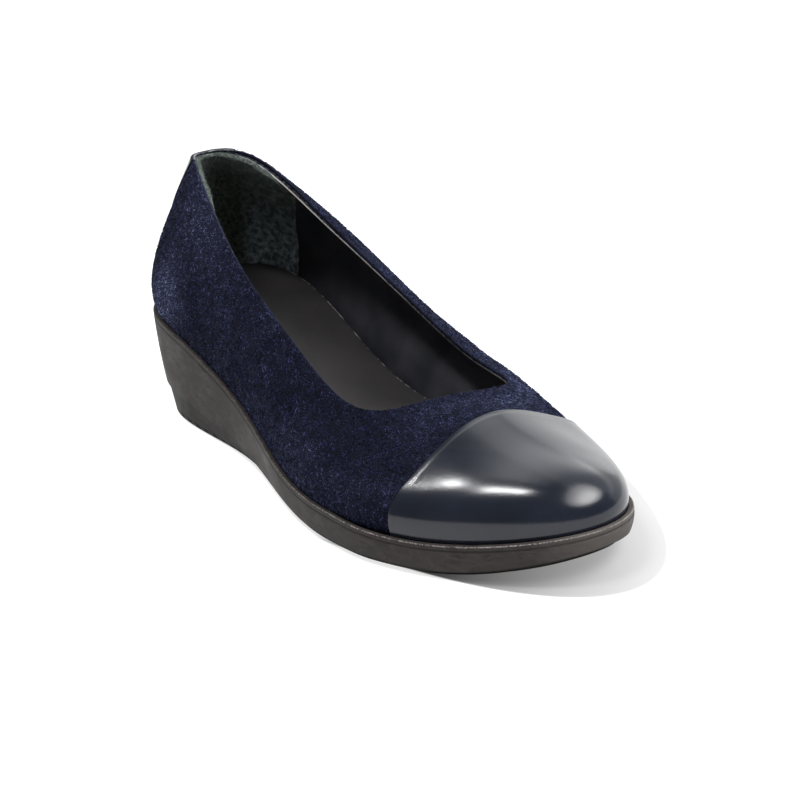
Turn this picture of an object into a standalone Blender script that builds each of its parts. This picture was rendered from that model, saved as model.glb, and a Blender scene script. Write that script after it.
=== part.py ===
# A right-foot wedge pump: moulded wedge sole, suede upper, leather toe cap and heel tab, insole.
# Toe towards +X, wearer's right towards -Y, up +Z. Tables are in millimetres, the model in metres.
import bmesh
import bpy
import numpy as np

# Driving sizes in millimetres
LENGTH = 244.0            # of the last, along its feather line
BALL_WIDTH = 85.5         # of the last across the ball joints
COLLAR_HEIGHT = 100.0     # of the topline at the back, from the floor
WALL = 2.0                # suede with its lining
GAP = 0.3                 # between pieces that are glued or stitched together
CAP_THICK = 0.9           # toe cap leather
TAB_THICK = 0.8           # heel tab leather
INSOLE_THICK = 6.0        # board, foam and sock
INSOLE_LOW_CLEAR = 1.3    # insole's lower edge, in from the wall
INSOLE_TOP_CLEAR = 1.1    # and its upper edge

# Rim of the sole unit
LIP_DEPTH = 2.0           # how far the seat lies below the top of the lip
LIP_ROUND = 0.6           # rounding of the lip's outer edge
LIP_HEIGHT = 1.5          # lip, from its top to the groove
GROOVE_IN = 0.45          # how deep the groove is cut
GROOVE_HIGH = 0.8
LEDGE = 0.8               # how far the band below the step line is set in
EDGE_ROUND = 1.0          # rounding of the tread's edge
PANEL_DRAW = 0.14         # share of the draw that the side has at the middle of its panel
STEP_DRAW = 0.42          # and at the step line
LIP_BLEND = 28.0          # behind the cap's edge the lip starts to move out for it here
LIP_CLEAR = 8.0           # and has moved out here

# Floor line of the sole
HEEL_FLAT_END = 93.0      # the heel's flat runs to here
BALL_FLAT_START = 148.0   # the forefoot's flat runs from here
BALL_FLAT_END = 198.0     # to here
ARCH_HEIGHT = 0.6
TOE_SPRING = 9.0

# Toe cap and heel tab
CAP_MID = 188.0           # where the cap's back edge crosses the middle of the vamp
CAP_SKEW = 0.165          # how far it leans towards the toe on the outer side
CAP_START = 4             # loop rows that the cap lies between
CAP_END = 8
TAB_TOP_HALF = 0.70       # half width of the tab at the topline, in loop rows
TAB_LOW_HALF = 0.30       # half width at its lower end
TAB_LOW = 0.42            # its lower end, as a share of the wall from feather line to topline

# Fineness of the faceted forms
STEPS = 8                 # columns between two rows of the loop tables
WALL_ROWS = 13            # rows of facets up the wall
CAP_ROWS = 12
TAB_COLUMNS = 16
TAB_ROWS = 8
NEAR_TOP = 0.97           # share of the wall just short of its topline
END_COLUMNS = 3           # columns at heel and toe that meet in the last point of the middle line

MM = 0.001
WELD = 0.001              # points closer than this are one

# The last as a loop, from the heel's back along the outer side to the toe and home along the inner
# side. foot_* is the feather line and top_* the topline: along in percent of LENGTH, across in percent
# of BALL_WIDTH, top_up in percent of COLLAR_HEIGHT. The wall leaves the feather line rising by rise mm
# and leaning out by lean, and comes in to the topline over reach mm, dip degrees below level.
LAST_COLUMNS = ("foot_along", "foot_across", "top_along", "top_across", "top_up",
                "rise", "lean", "reach", "dip")
LAST = [
    (0.0, 0.0, 4.6, 0.0, 100.0, 20.0, 0.24, 25.0, 62.0),        # heel back
    (6.8, -34.3, 12.1, -15.1, 99.9, 17.0, 0.37, 18.0, 64.0),    # heel, outer
    (29.5, -37.4, 27.8, -26.1, 79.1, 18.0, 0.18, 20.0, 56.0),   # waist, outer
    (49.2, -48.8, 45.4, -30.7, 59.1, 16.0, 0.15, 20.0, 48.0),   # instep, outer
    (68.4, -53.2, 59.6, -28.2, 43.5, 13.5, 0.14, 22.0, 38.0),   # ball, outer
    (88.2, -31.3, 67.2, -11.7, 45.5, 19.5, 0.19, 34.3, 30.1),   # toe, outer
    (100.0, 5.8, 70.3, 10.5, 46.6, 23.1, 0.16, 18.1, 24.9),     # toe tip
    (93.5, 37.9, 68.7, 34.7, 43.0, 15.6, 0.30, 27.1, 50.6),     # toe, inner
    (71.7, 46.8, 58.8, 35.7, 45.4, 14.0, 0.15, 27.0, 23.6),     # ball, inner
    (51.6, 36.3, 45.5, 30.2, 60.2, 17.0, 0.16, 27.5, 30.0),     # instep, inner
    (30.3, 35.1, 27.1, 24.5, 80.5, 19.0, 0.16, 25.0, 26.0),     # waist, inner
    (6.8, 33.5, 11.7, 15.8, 99.2, 19.0, 0.28, 21.5, 53.0),      # heel, inner
]

# The same loop for the sole unit: lip is how far the rim stands out from the upper, draw how far the
# side is drawn in from the rim down to the tread.
SOLE_COLUMNS = ("lip", "draw")
SOLE = [
    (2.3, 7.5),
    (1.9, 4.4),
    (1.6, 3.6),
    (1.7, 2.4),
    (1.8, 2.6),
    (2.2, 4.4),
    (2.2, 4.6),
    (2.1, 3.8),
    (2.1, 3.2),
    (1.9, 4.0),
    (1.7, 4.2),
    (1.7, 4.6),
]

# Along the sole, in millimetres: top of the rim, and the step line's height over the tread
PROFILE_COLUMNS = ("at", "rim", "step")
PROFILE = [
    (-10.0, 43.6, 15.5),
    (38.0, 39.0, 11.0),
    (88.0, 22.5, 3.6),
    (128.0, 15.2, 2.4),
    (163.0, 13.7, 2.3),
    (198.0, 13.1, 2.3),
    (233.0, 17.1, 2.3),
    (258.0, 22.0, 2.3),
]


def table(columns, rows):
    """Columns of a table by name."""
    return {name: np.array([row[i] for row in rows]) for i, name in enumerate(columns)}


def around(values, t):
    """Smooth closed curve through equally spaced loop rows; t counts rows."""
    n = len(values)
    one = np.eye(n)
    matrix = 4.0 * one + np.roll(one, 1, 1) + np.roll(one, -1, 1)
    slope = np.linalg.solve(matrix, 3.0 * (np.roll(values, -1) - np.roll(values, 1)))
    i = np.floor(t).astype(int)
    f = t - i
    a = i % n
    b = (i + 1) % n
    return ((2 * f**3 - 3 * f**2 + 1) * values[a] + (f**3 - 2 * f**2 + f) * slope[a]
            + (3 * f**2 - 2 * f**3) * values[b] + (f**3 - f**2) * slope[b])


def along(at, values, x):
    """Smooth open curve through the profile's stations."""
    width = np.diff(at)
    secant = np.diff(values) / width
    n = len(at)
    matrix = np.zeros((n, n))
    right = np.zeros(n)
    matrix[0, :2] = (2.0, 1.0)
    right[0] = 3.0 * secant[0]
    matrix[-1, -2:] = (1.0, 2.0)
    right[-1] = 3.0 * secant[-1]
    for k in range(1, n - 1):
        matrix[k, k - 1:k + 2] = (width[k], 2.0 * (width[k - 1] + width[k]), width[k - 1])
        right[k] = 3.0 * (width[k] * secant[k - 1] + width[k - 1] * secant[k])
    slope = np.linalg.solve(matrix, right)
    i = np.clip(np.searchsorted(at, x) - 1, 0, n - 2)
    h = width[i]
    f = (x - at[i]) / h
    return ((2 * f**3 - 3 * f**2 + 1) * values[i] + (f**3 - 2 * f**2 + f) * h * slope[i]
            + (3 * f**2 - 2 * f**3) * values[i + 1] + (f**3 - f**2) * h * slope[i + 1])


def smooth_step(x, start, end):
    f = np.clip((x - start) / (end - start), 0.0, 1.0)
    return f * f * (3.0 - 2.0 * f)


LAST_T = table(LAST_COLUMNS, LAST)
SOLE_T = table(SOLE_COLUMNS, SOLE)
PROFILE_T = table(PROFILE_COLUMNS, PROFILE)
LOOP = len(LAST)


def rim_height(x):
    return along(PROFILE_T["at"], PROFILE_T["rim"], x)


def step_height(x):
    return along(PROFILE_T["at"], PROFILE_T["step"], x)


def tread_height(x):
    """Floor line: flat heel, low arch, flat forefoot, toe spring."""
    span = np.clip((x - HEEL_FLAT_END) / (BALL_FLAT_START - HEEL_FLAT_END), 0.0, 1.0)
    spring = np.clip((x - BALL_FLAT_END) / (LENGTH - BALL_FLAT_END), 0.0, None)
    return ARCH_HEIGHT * np.sin(np.pi * span)**2 + TOE_SPRING * spring**2


def feather(t):
    """Feather line of the last in plan."""
    x = around(LAST_T["foot_along"], t) * LENGTH / 100.0
    y = around(LAST_T["foot_across"], t) * BALL_WIDTH / 100.0
    return np.stack([x, y], -1)


def topline(t):
    x = around(LAST_T["top_along"], t) * LENGTH / 100.0
    y = around(LAST_T["top_across"], t) * BALL_WIDTH / 100.0
    z = around(LAST_T["top_up"], t) * COLLAR_HEIGHT / 100.0
    return np.stack([x, y, z], -1)


def outward(curve, t):
    """Plan direction that points out of a loop curve, as a vector in space."""
    nudge = 0.01
    d = curve(t + nudge)[..., :2] - curve(t - nudge)[..., :2]
    d = d / np.linalg.norm(d, axis=-1, keepdims=True)
    return np.stack([d[..., 1], -d[..., 0], np.zeros_like(d[..., 0])], -1)


def wall(t, s):
    """Outer face of the upper: t counts loop rows, s runs from feather line to topline."""
    plan = feather(t)
    foot = np.concatenate([plan, rim_height(plan[..., :1])], -1)
    top = topline(t)
    up = np.array([0.0, 0.0, 1.0])
    rise = around(LAST_T["rise"], t)[..., None]
    lean = around(LAST_T["lean"], t)[..., None]
    reach = around(LAST_T["reach"], t)[..., None]
    dip = np.radians(around(LAST_T["dip"], t))[..., None]
    a = foot + rise * (lean * outward(feather, t) + up)
    b = top + reach * (np.cos(dip) * outward(topline, t) - np.sin(dip) * up)
    s = s[..., None]
    return ((1 - s)**3 * foot + 3 * (1 - s)**2 * s * a + 3 * (1 - s) * s**2 * b + s**3 * top)


def wall_normal(t, s):
    """Outward normal of the upper's outer face."""
    nudge = 0.004
    across = wall(t + nudge, s) - wall(t - nudge, s)
    upward = wall(t, s + nudge) - wall(t, s - nudge)
    n = np.cross(across, upward)
    return n / np.linalg.norm(n, axis=-1, keepdims=True)


def below(t, s, drop):
    """Wall points, with those below the feather line let down behind the lip by drop."""
    points = wall(t, np.maximum(s, 0.0))
    lean = around(LAST_T["lean"], t)[..., None] * outward(feather, t)
    down = np.where(s < 0.0, drop, 0.0)[..., None]
    return points - down * (lean + np.array([0.0, 0.0, 1.0]))


def new_object(name, collection, mesh, material):
    mesh.normal_update()
    data = bpy.data.meshes.new(name)
    mesh.to_mesh(data)
    mesh.free()
    obj = bpy.data.objects.new(name, data)
    collection.objects.link(obj)
    obj.data.materials.append(material)
    return obj


def sheet(points, closed):
    """Quad sheet over an array of points; a closed one joins its last column to its first."""
    columns, rows = points.shape[:2]
    mesh = bmesh.new()
    count = columns + 1 if closed else columns
    bmesh.ops.create_grid(mesh, x_segments=count - 1, y_segments=rows - 1, size=1.0)
    mesh.verts.ensure_lookup_table()
    for k, vert in enumerate(mesh.verts):
        vert.co = (points[(k % count) % columns, k // count] + SHIFT) * MM
    bmesh.ops.remove_doubles(mesh, verts=mesh.verts, dist=WELD * MM)
    bmesh.ops.dissolve_degenerate(mesh, edges=mesh.edges, dist=WELD * MM)
    return mesh


def solidify(obj, thickness, offset):
    made = obj.modifiers.new("wall", "SOLIDIFY")
    made.thickness = thickness * MM
    made.offset = offset
    made.use_even_offset = True
    made.use_quality_normals = True


def material(name, colour, roughness):
    made = bpy.data.materials.new(name)
    made.use_nodes = True
    shader = made.node_tree.nodes["Principled BSDF"]
    shader.inputs["Base Color"].default_value = (*colour, 1.0)
    shader.inputs["Roughness"].default_value = roughness
    return made


for old in list(bpy.data.objects):
    bpy.data.objects.remove(old)
parts = bpy.data.collections.new("wedge_pump")
bpy.context.scene.collection.children.link(parts)

suede = material("suede", (0.014, 0.016, 0.045), 0.95)
leather = material("cap_leather", (0.012, 0.014, 0.024), 0.3)
rubber = material("rubber", (0.035, 0.032, 0.031), 0.6)
sock = material("sock_leather", (0.025, 0.023, 0.023), 0.55)

t_loop = np.arange(LOOP * STEPS) / STEPS
foot_loop = feather(t_loop)
out_loop = outward(feather, t_loop)
x_loop = foot_loop[:, 0]


def ring(offset, height):
    """Loop at a plan distance out from the feather line."""
    plan = foot_loop + np.broadcast_to(offset, t_loop.shape)[:, None] * out_loop[:, :2]
    return np.concatenate([plan, height[:, None]], 1)


def toward_middle(loop, share, height):
    """Loop drawn in to the line midway between its outer and inner side, which stops short of the ends."""
    middle = (loop + np.roll(loop[::-1], 1, 0))[:, :2] / 2.0
    column = np.arange(len(loop))
    pair = np.clip(np.minimum(column, len(loop) - column), END_COLUMNS, len(loop) // 2 - END_COLUMNS)
    plan = loop[:, :2] + share * (middle[pair] - loop[:, :2])
    return np.concatenate([plan, height(plan[:, 0])[:, None]], 1)


def seat_height(x):
    return rim_height(x) - LIP_DEPTH


def insole_under(x):
    return seat_height(x) + GAP


def insole_over(x):
    return seat_height(x) + GAP + INSOLE_THICK


# Sole unit: the rings of its section, from the middle of the seat over the lip, down the side and
# under to the middle of the tread. Around the toe the lip stands clear of the cap as well.
capped = smooth_step(x_loop, CAP_MID - LIP_BLEND, CAP_MID - LIP_CLEAR) * (GAP + CAP_THICK)
lip_in = capped + GAP
lip_out = capped + around(SOLE_T["lip"], t_loop)
draw = around(SOLE_T["draw"], t_loop)
rim = rim_height(x_loop)
groove_top = rim - LIP_HEIGHT
panel_top = groove_top - GROOVE_HIGH
tread = tread_height(x_loop)
step = tread + step_height(x_loop)
step_out = lip_out - STEP_DRAW * draw
seat = ring(lip_in, rim - LIP_DEPTH)
foot_edge = ring(lip_out - draw - EDGE_ROUND, tread)
sole = np.stack([
    toward_middle(seat, 1.0, seat_height),
    toward_middle(seat, 0.5, seat_height),
    seat,
    ring(lip_in, rim - LIP_ROUND / 2.0),
    ring(lip_in + LIP_ROUND / 2.0, rim),
    ring(lip_out - LIP_ROUND, rim),
    ring(lip_out, rim - LIP_ROUND),
    ring(lip_out, groove_top),
    ring(lip_out - GROOVE_IN, groove_top - GROOVE_HIGH / 4.0),
    ring(lip_out - GROOVE_IN, panel_top + GROOVE_HIGH / 4.0),
    ring(lip_out, panel_top),
    ring(lip_out - PANEL_DRAW * draw, (panel_top + step) / 2.0),
    ring(step_out, step),
    ring(step_out - LEDGE, step - LEDGE / 2.0),
    ring(np.minimum(lip_out - draw, step_out - LEDGE), tread + EDGE_ROUND),
    foot_edge,
    toward_middle(foot_edge, 0.5, tread_height),
    toward_middle(foot_edge, 1.0, tread_height),
], 1)

# Upper: one sheet from behind the lip to the topline
t_grid, s_grid = np.meshgrid(t_loop, np.concatenate([[-1.0], np.linspace(0.0, 1.0, WALL_ROWS)]),
                             indexing="ij")
shell = below(t_grid, s_grid, LIP_DEPTH - GAP)

# Toe cap: the front of the same wall, let out by the gap
t_cap = np.arange(CAP_START * STEPS, CAP_END * STEPS + 1) / STEPS
t_grid, s_grid = np.meshgrid(t_cap, np.concatenate([[-1.0], np.linspace(0.0, NEAR_TOP, CAP_ROWS)]),
                             indexing="ij")
cap = below(t_grid, s_grid, LIP_DEPTH - 2.0 * GAP)
cap = cap + GAP * wall_normal(t_grid, np.maximum(s_grid, 1.0 - NEAR_TOP))

# Heel tab: a tapered strip up the back of the wall and over the topline
s_tab = np.linspace(TAB_LOW, 1.0, TAB_ROWS)
half = TAB_LOW_HALF + (TAB_TOP_HALF - TAB_LOW_HALF) * (s_tab - TAB_LOW) / (1.0 - TAB_LOW)
t_grid = np.linspace(-1.0, 1.0, TAB_COLUMNS)[:, None] * half[None, :]
s_grid = np.broadcast_to(s_tab, t_grid.shape)
face = wall_normal(t_grid, np.minimum(s_grid, NEAR_TOP))
tab = wall(t_grid, s_grid) + GAP * face
t_rim = t_grid[:, -1:]
rim_up = wall(t_rim, np.ones_like(t_rim)) - wall(t_rim, np.full_like(t_rim, NEAR_TOP))
rim_up = rim_up / np.linalg.norm(rim_up, axis=-1, keepdims=True)
over = [tab[:, -1:] + GAP * rim_up - depth * face[:, -1:] for depth in (GAP, WALL / 2.0, WALL)]
tab_back = tab + TAB_THICK * face
tab = np.concatenate([tab] + over, 1)

# Insole: lies on the seat inside the wall
lower = ring(-WALL - INSOLE_LOW_CLEAR, insole_under(x_loop))
upper_edge = ring(-WALL - INSOLE_TOP_CLEAR, insole_over(x_loop))
insole = np.stack([
    toward_middle(upper_edge, 1.0, insole_over),
    toward_middle(upper_edge, 0.5, insole_over),
    upper_edge,
    lower,
    toward_middle(lower, 0.5, insole_under),
    toward_middle(lower, 1.0, insole_under),
], 1)

# The origin goes to the middle of the whole shoe, on the floor
extent = np.concatenate([points.reshape(-1, 3) for points in (sole, shell, tab_back)])
SHIFT = -(extent.min(0) + extent.max(0)) / 2.0
SHIFT[2] = -extent[:, 2].min()

new_object("sole_unit", parts, sheet(sole[:, ::-1], True), rubber)
solidify(new_object("upper", parts, sheet(shell, True), suede), WALL, -1.0)
cap_sheet = sheet(cap, False)
edge_point = (np.array([CAP_MID, 0.0, 0.0]) + SHIFT) * MM
whole = cap_sheet.verts[:] + cap_sheet.edges[:] + cap_sheet.faces[:]
bmesh.ops.bisect_plane(cap_sheet, geom=whole, plane_co=edge_point, plane_no=(1.0, CAP_SKEW, 0.0),
                       clear_inner=True)
bmesh.ops.remove_doubles(cap_sheet, verts=cap_sheet.verts, dist=GAP * MM)
solidify(new_object("toe_cap", parts, cap_sheet, leather), CAP_THICK, 1.0)
solidify(new_object("heel_tab", parts, sheet(tab, False), leather), TAB_THICK, 1.0)
new_object("insole", parts, sheet(insole[:, ::-1], True), sock)
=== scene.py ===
from functools import partial
from math import cos, pi, radians, sin

import bmesh
import bpy
import numpy as np
from mathutils import Matrix, Vector


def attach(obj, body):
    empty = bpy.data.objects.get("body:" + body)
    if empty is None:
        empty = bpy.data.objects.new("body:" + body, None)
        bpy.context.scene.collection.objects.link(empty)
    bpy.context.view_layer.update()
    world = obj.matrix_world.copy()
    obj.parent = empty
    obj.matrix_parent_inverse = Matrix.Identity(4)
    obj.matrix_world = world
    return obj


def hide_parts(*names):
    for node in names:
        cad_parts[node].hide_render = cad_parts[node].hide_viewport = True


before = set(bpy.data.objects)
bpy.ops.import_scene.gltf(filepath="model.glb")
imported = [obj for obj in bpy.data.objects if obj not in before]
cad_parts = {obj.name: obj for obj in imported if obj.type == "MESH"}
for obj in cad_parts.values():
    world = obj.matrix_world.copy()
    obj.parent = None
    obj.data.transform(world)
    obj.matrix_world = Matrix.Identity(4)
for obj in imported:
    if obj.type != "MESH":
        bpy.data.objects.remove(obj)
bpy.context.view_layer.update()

# SUEDE UPPER
# One skin of navy split leather, brushed to a short nap, pulled over the last and cemented under its
# edge. The topline is turned in over a tape, so the edge is round, and a closed seam runs up the back.
MM = 0.001
LENGTH = 244.0            # of the last, along its feather line, in millimetres as all sizes here
BALL_WIDTH = 85.5
COLLAR_HEIGHT = 100.0
HEEL_POINT = np.array([-122.825, 1.164, 0.0])   # where the last's heel lies in the shoe's own frame
SUEDE_THICK = 1.1
UNDER_LIP = 1.7           # how far the skin runs down behind the lip of the sole
SUEDE_COLUMNS = 40        # of quads between two rows of the loop tables
SUEDE_ROWS = 84
FOLD_ROWS = 9
INNER_FROM, INNER_EVERY = 7, 11    # its inside has one row for so many of the outer face
BACK_SEAM_DEEP = 0.45
BACK_SEAM_HALF = 0.7
HEEL_PER_ROW = 28.0       # millimetres round the heel's back between two rows of the loop
NAP_FIBRES = 50000
NAP_INSIDE = 5000         # of them on the band turned in at the topline
NAP_BEHIND = 0.8          # that band is this much thicker towards the heel on the inner side
NAP_FRONT = 190.0         # the toe cap covers the nap from here on
NAP_SHORT, NAP_LONG = 0.6, 1.3
NAP_HALF = 0.19           # half thickness of a bundle of fibres, drawn coarser than single ones

# The last as a loop, from the heel's back along the outer side to the toe and home along the inner
# side. foot_* is the feather line and top_* the topline: along in percent of LENGTH, across in percent
# of BALL_WIDTH, top_up in percent of COLLAR_HEIGHT. The wall leaves the feather line rising by rise mm
# and leaning out by lean, and comes in to the topline over reach mm, dip degrees below level.
LAST_COLUMNS = ("foot_along", "foot_across", "top_along", "top_across", "top_up",
                "rise", "lean", "reach", "dip")
LAST = [
    (0.0, 0.0, 4.6, 0.0, 100.0, 20.0, 0.24, 25.0, 62.0),        # heel back
    (6.8, -34.3, 12.1, -15.1, 99.9, 17.0, 0.37, 18.0, 64.0),    # heel, outer
    (29.5, -37.4, 27.8, -26.1, 79.1, 18.0, 0.18, 20.0, 56.0),   # waist, outer
    (49.2, -48.8, 45.4, -30.7, 59.1, 16.0, 0.15, 20.0, 48.0),   # instep, outer
    (68.4, -53.2, 59.6, -28.2, 43.5, 13.5, 0.14, 22.0, 38.0),   # ball, outer
    (88.2, -31.3, 67.2, -11.7, 45.5, 19.5, 0.19, 34.3, 30.1),   # toe, outer
    (100.0, 5.8, 70.3, 10.5, 46.6, 23.1, 0.16, 18.1, 24.9),     # toe tip
    (93.5, 37.9, 68.7, 34.7, 43.0, 15.6, 0.30, 27.1, 50.6),     # toe, inner
    (71.7, 46.8, 58.8, 35.7, 45.4, 14.0, 0.15, 27.0, 23.6),     # ball, inner
    (51.6, 36.3, 45.5, 30.2, 60.2, 17.0, 0.16, 27.5, 30.0),     # instep, inner
    (30.3, 35.1, 27.1, 24.5, 80.5, 19.0, 0.16, 25.0, 26.0),     # waist, inner
    (6.8, 33.5, 11.7, 15.8, 99.2, 19.0, 0.28, 21.5, 53.0),      # heel, inner
]
LOOP = len(LAST)

# Along the sole, in millimetres: top of the rim, and the step line's height over the tread
PROFILE_COLUMNS = ("at", "rim", "step")
PROFILE = [
    (-10.0, 43.6, 15.5),
    (38.0, 39.0, 11.0),
    (88.0, 22.5, 3.6),
    (128.0, 15.2, 2.4),
    (163.0, 13.7, 2.3),
    (198.0, 13.1, 2.3),
    (233.0, 17.1, 2.3),
    (258.0, 22.0, 2.3),
]

# Soft troughs that handling has left in the suede: loop row, share of the wall from feather line to
# topline, turn from level in degrees, half length and half width in mm, depth in mm (less than 0 is a
# ridge).
SUEDE_CREASES = [
    (3.55, 0.62, 62.0, 26.0, 7.0, 0.55),     # flex line behind the ball, outer
    (3.85, 0.55, 58.0, 24.0, 6.0, -0.30),
    (2.45, 0.48, 20.0, 30.0, 8.0, 0.45),     # hollow of the waist, outer
    (1.35, 0.42, 80.0, 22.0, 6.0, 0.35),     # edge of the counter, outer
    (8.35, 0.60, -62.0, 24.0, 7.0, 0.50),    # flex line behind the ball, inner
    (9.60, 0.50, -20.0, 28.0, 8.0, 0.40),    # hollow of the waist, inner
    (10.7, 0.42, -80.0, 22.0, 6.0, 0.35),    # edge of the counter, inner
]

# Patches of painted light and shade on the suede: lighter where more light falls, as above the sole and
# along the throat, in the same columns, with the lightness they add in place of a depth (less than 0 is
# painted shade, where the wall faces away)
STROKE_LEVEL = 0.10
SUEDE_STROKES = [
    (1.20, 0.22, 60.0, 16.0, 10.0, 1.25),    # heel, above the sole
    (1.40, 0.84, 0.0, 20.0, 12.0, 0.42),     # heel, below the topline
    (2.00, 0.52, 30.0, 14.0, 9.0, 0.10),     # waist
    (3.40, 0.24, 10.0, 18.0, 8.0, 0.14),     # above the arch
    (4.20, 0.76, 0.0, 26.0, 12.0, -0.22),    # side of the vamp
    (5.55, 0.92, 0.0, 24.0, 8.0, 0.18),      # along the throat
    (6.90, 0.92, 0.0, 22.0, 9.0, 0.28),
]


def table(columns, rows):
    """Columns of a table by name."""
    return {name: np.array([row[i] for row in rows]) for i, name in enumerate(columns)}


def around(values, t):
    """Smooth closed curve through equally spaced loop rows; t counts rows."""
    n = len(values)
    one = np.eye(n)
    matrix = 4.0 * one + np.roll(one, 1, 1) + np.roll(one, -1, 1)
    slope = np.linalg.solve(matrix, 3.0 * (np.roll(values, -1) - np.roll(values, 1)))
    i = np.floor(t).astype(int)
    f = t - i
    a = i % n
    b = (i + 1) % n
    return ((2 * f**3 - 3 * f**2 + 1) * values[a] + (f**3 - 2 * f**2 + f) * slope[a]
            + (3 * f**2 - 2 * f**3) * values[b] + (f**3 - f**2) * slope[b])


def along(at, values, x):
    """Smooth open curve through the profile's stations."""
    width = np.diff(at)
    secant = np.diff(values) / width
    n = len(at)
    matrix = np.zeros((n, n))
    right = np.zeros(n)
    matrix[0, :2] = (2.0, 1.0)
    right[0] = 3.0 * secant[0]
    matrix[-1, -2:] = (1.0, 2.0)
    right[-1] = 3.0 * secant[-1]
    for k in range(1, n - 1):
        matrix[k, k - 1:k + 2] = (width[k], 2.0 * (width[k - 1] + width[k]), width[k - 1])
        right[k] = 3.0 * (width[k] * secant[k - 1] + width[k - 1] * secant[k])
    slope = np.linalg.solve(matrix, right)
    i = np.clip(np.searchsorted(at, x) - 1, 0, n - 2)
    h = width[i]
    f = (x - at[i]) / h
    return ((2 * f**3 - 3 * f**2 + 1) * values[i] + (f**3 - 2 * f**2 + f) * h * slope[i]
            + (3 * f**2 - 2 * f**3) * values[i + 1] + (f**3 - f**2) * h * slope[i + 1])


def ease(x, start, end):
    """Rises smoothly from 0 at start to 1 at end."""
    f = np.clip((x - start) / (end - start), 0.0, 1.0)
    return f * f * (3.0 - 2.0 * f)


def between(x, start, full, fading, end):
    """Rises from 0 to 1 between start and full, and falls back between fading and end."""
    return ease(x, start, full) * (1.0 - ease(x, fading, end))


last = table(LAST_COLUMNS, LAST)
profile = table(PROFILE_COLUMNS, PROFILE)
UP = np.array([0.0, 0.0, 1.0])


def rim_height(x):
    """Top of the sole's rim, where the feather line lies."""
    return along(profile["at"], profile["rim"], x)


def feather(t):
    """Feather line of the last in plan."""
    x = around(last["foot_along"], t) * LENGTH / 100.0
    y = around(last["foot_across"], t) * BALL_WIDTH / 100.0
    return np.stack([x, y], -1)


def topline(t):
    """Edge of the opening."""
    x = around(last["top_along"], t) * LENGTH / 100.0
    y = around(last["top_across"], t) * BALL_WIDTH / 100.0
    z = around(last["top_up"], t) * COLLAR_HEIGHT / 100.0
    return np.stack([x, y, z], -1)


def outward(curve, t):
    """Plan direction that points out of a loop curve, as a vector in space."""
    nudge = 0.01
    d = curve(t + nudge)[..., :2] - curve(t - nudge)[..., :2]
    d = d / np.linalg.norm(d, axis=-1, keepdims=True)
    return np.stack([d[..., 1], -d[..., 0], np.zeros_like(d[..., 0])], -1)


def leaving(t):
    """Direction in which the wall leaves the feather line, for 1 mm of rise."""
    return around(last["lean"], t)[..., None] * outward(feather, t) + UP


def wall(t, s):
    """Outer face of the upper: t counts loop rows, s runs from feather line to topline."""
    plan = feather(t)
    foot = np.concatenate([plan, rim_height(plan[..., :1])], -1)
    top = topline(t)
    rise = around(last["rise"], t)[..., None]
    reach = around(last["reach"], t)[..., None]
    dip = np.radians(around(last["dip"], t))[..., None]
    a = foot + rise * leaving(t)
    b = top + reach * (np.cos(dip) * outward(topline, t) - np.sin(dip) * UP)
    s = s[..., None]
    return ((1 - s)**3 * foot + 3 * (1 - s)**2 * s * a + 3 * (1 - s) * s**2 * b + s**3 * top)


def unit(v):
    """Directions of length 1."""
    return v / np.linalg.norm(v, axis=-1, keepdims=True)


NUDGE = 0.004             # a small step along the loop or up the wall


def wall_normal(t, s):
    """Outward normal of the upper's outer face."""
    s = np.clip(s, NUDGE, 1.0 - NUDGE)
    across = wall(t + NUDGE, s) - wall(t - NUDGE, s)
    return unit(np.cross(across, wall(t, s + NUDGE) - wall(t, s - NUDGE)))


def off_wall(t, s, out):
    """Points at a distance out from the outer face."""
    return wall(t, s) + out[..., None] * wall_normal(t, s)


def up_wall(t, s, step=0.03):
    """Direction up the outer face, over a step below a place."""
    return unit(wall(t, s) - wall(t, s - step))


def below_top(t, drop):
    """Share of the wall at a place that lies a drop in mm below the topline."""
    return 1.0 - drop / (3.0 * around(last["reach"], t))


def from_row(t, row):
    """Rows of the loop from a row to a place, the short way round."""
    return (t - row + LOOP / 2.0) % LOOP - LOOP / 2.0


def creased(t, s, rows):
    """Depth of listed troughs at points of the wall, in mm."""
    nudge = 0.02
    deep = np.zeros(np.broadcast(t, s).shape)
    for row, up, turn, length, width, depth in rows:
        here = np.array([row]), np.array([up])
        per_row = np.linalg.norm(wall(here[0] + nudge, here[1]) - wall(*here)) / nudge
        per_share = np.linalg.norm(wall(here[0], here[1] + nudge) - wall(*here)) / nudge
        p = from_row(t, row) * per_row
        q = (s - up) * per_share
        angle = radians(turn)
        a = (p * cos(angle) + q * sin(angle)) / length
        b = (q * cos(angle) - p * sin(angle)) / width
        deep += depth * np.exp(-a * a) * (1.0 - 0.35 * b * b) * np.exp(-0.5 * b * b)
    return deep


WELD = 0.002              # points of a skin that are closer than this are one


def skin(points, closed, **marks):
    """Quad skin over an array of points in mm, columns by rows. A closed one joins its last column to its
    first. Marks are values at the points that the material reads by name."""
    columns, rows = points.shape[:2]
    count = columns + 1 if closed else columns
    mesh = bmesh.new()
    bmesh.ops.create_grid(mesh, x_segments=count - 1, y_segments=rows - 1, size=1.0)
    layers = [(mesh.verts.layers.float.new(name), np.broadcast_to(values, (columns, rows)))
              for name, values in marks.items()]
    in_frame = (points + HEEL_POINT) * MM
    for k, vert in enumerate(mesh.verts):
        at = (k % count) % columns, k // count
        vert.co = in_frame[at]
        for layer, values in layers:
            vert[layer] = values[at]
    bmesh.ops.remove_doubles(mesh, verts=mesh.verts, dist=WELD * MM)
    bmesh.ops.dissolve_degenerate(mesh, edges=mesh.edges, dist=WELD * MM)
    return mesh


def placed(name, data):
    """An object in the scene for a mesh, lamp or lens."""
    made = bpy.data.objects.new(name, data)
    bpy.context.scene.collection.objects.link(made)
    return made


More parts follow.
